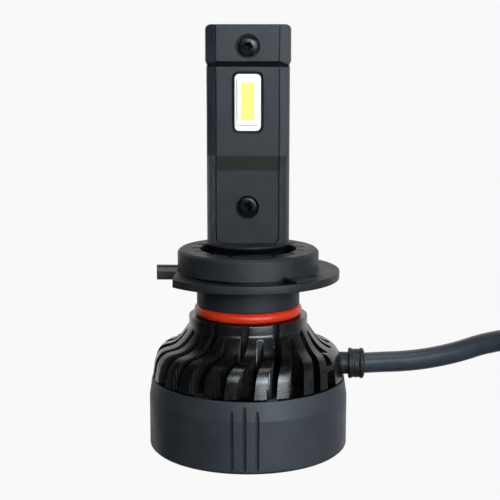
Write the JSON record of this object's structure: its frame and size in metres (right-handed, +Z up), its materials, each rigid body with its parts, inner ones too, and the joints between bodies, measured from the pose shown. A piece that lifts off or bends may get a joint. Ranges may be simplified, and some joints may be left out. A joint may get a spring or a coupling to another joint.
{
  "type": "led headlight bulb",
  "caption": "LED headlight bulb with a flat two-sided stem, turning lock collar, red seal ring, swirl-finned heat sink, fan base and a short lead with a plug.",
  "frame": {"origin": "on the bulb's axis, on the bottom face of the fan grille's hub, which the bulb stands on", "axes": "+Z up the bulb's axis towards the LEDs, -Y out of the front LED's face, +X along the lead's outlet"},
  "size_m": [0.134, 0.0421, 0.0627],
  "materials": {
    "anodised_black": "satin black anodised",
    "gloss_black_metal": "gloss black",
    "neck_black": "matt black",
    "collar_black": "matt black",
    "housing_black": "fine matt texture",
    "copper_plate": "bright copper",
    "white_board": "matt white solder mask",
    "led_white": "satin white",
    "phosphor_yellow": "matt, unlit",
    "screw_black": "black oxide",
    "seal_red": "glossy silicone",
    "spring_steel": "bright",
    "bearing_bronze": "sintered",
    "magnet_black": "bonded ferrite",
    "rotor_black": "moulded",
    "circuit_board": "solder mask",
    "component_black": "moulded epoxy",
    "cable_black": "satin jacket",
    "wire_red": "satin",
    "wire_black": "satin",
    "tie_black": "moulded nylon",
    "plug_black": "moulded",
    "blade_tinned": "tin plated"
  },
  "bodies": {
    "base": {"stem_frame": "anodised_black", "front_cover": "anodised_black", "rear_cover": "anodised_black", "copper_core": "copper_plate", "upper_cover_screw": "screw_black", "lower_cover_screw": "screw_black", "front_led_board": "white_board", "front_led_package": "led_white", "front_phosphor": "phosphor_yellow", "front_led_wire_positive": "wire_red", "front_led_wire_negative": "wire_black", "rear_led_board": "white_board", "rear_led_package": "led_white", "rear_phosphor": "phosphor_yellow", "rear_led_wire_positive": "wire_red", "rear_led_wire_negative": "wire_black", "neck_barrel": "neck_black", "seal_ring": "seal_red", "heat_sink": "gloss_black_metal", "fan_housing": "housing_black", "fan_grille": "housing_black", "housing_screw_1": "screw_black", "housing_screw_2": "screw_black", "housing_screw_3": "screw_black", "fan_bearing": "bearing_bronze", "fan_stator": "spring_steel", "fan_board": "circuit_board", "driver_board": "circuit_board", "driver_inductor": "magnet_black", "driver_capacitor": "component_black", "driver_chip": "component_black", "driver_diode": "component_black", "supply_wire_positive": "wire_red", "supply_wire_negative": "wire_black", "strain_relief": "plug_black", "lead_cable": "cable_black", "lead_coil": "cable_black", "lead_tail": "cable_black", "cable_tie": "tie_black", "plug_housing": "plug_black", "plug_blade_left": "blade_tinned", "plug_blade_right": "blade_tinned"},
    "collar_carrier": {"collar_snap_ring": "spring_steel"},
    "collar": {"lock_collar": "collar_black"},
    "fan": {"fan_rotor": "rotor_black", "rotor_magnet": "magnet_black", "fan_shaft": "spring_steel"}
  },
  "joints": [
    {"name": "collar_lift", "type": "slide", "parent": "base", "child": "collar_carrier", "axis": [0, 0, 1], "range_m": [0, 0.04]},
    {"name": "collar_turn", "type": "hinge", "parent": "collar_carrier", "child": "collar", "pos_m": [0, 0, 0.0278], "axis": [0, 0, 1], "continuous": true},
    {"name": "fan_spin", "type": "hinge", "parent": "base", "child": "fan", "pos_m": [0, 0, 0.0035], "axis": [0, 0, 1], "continuous": true}
  ]
}
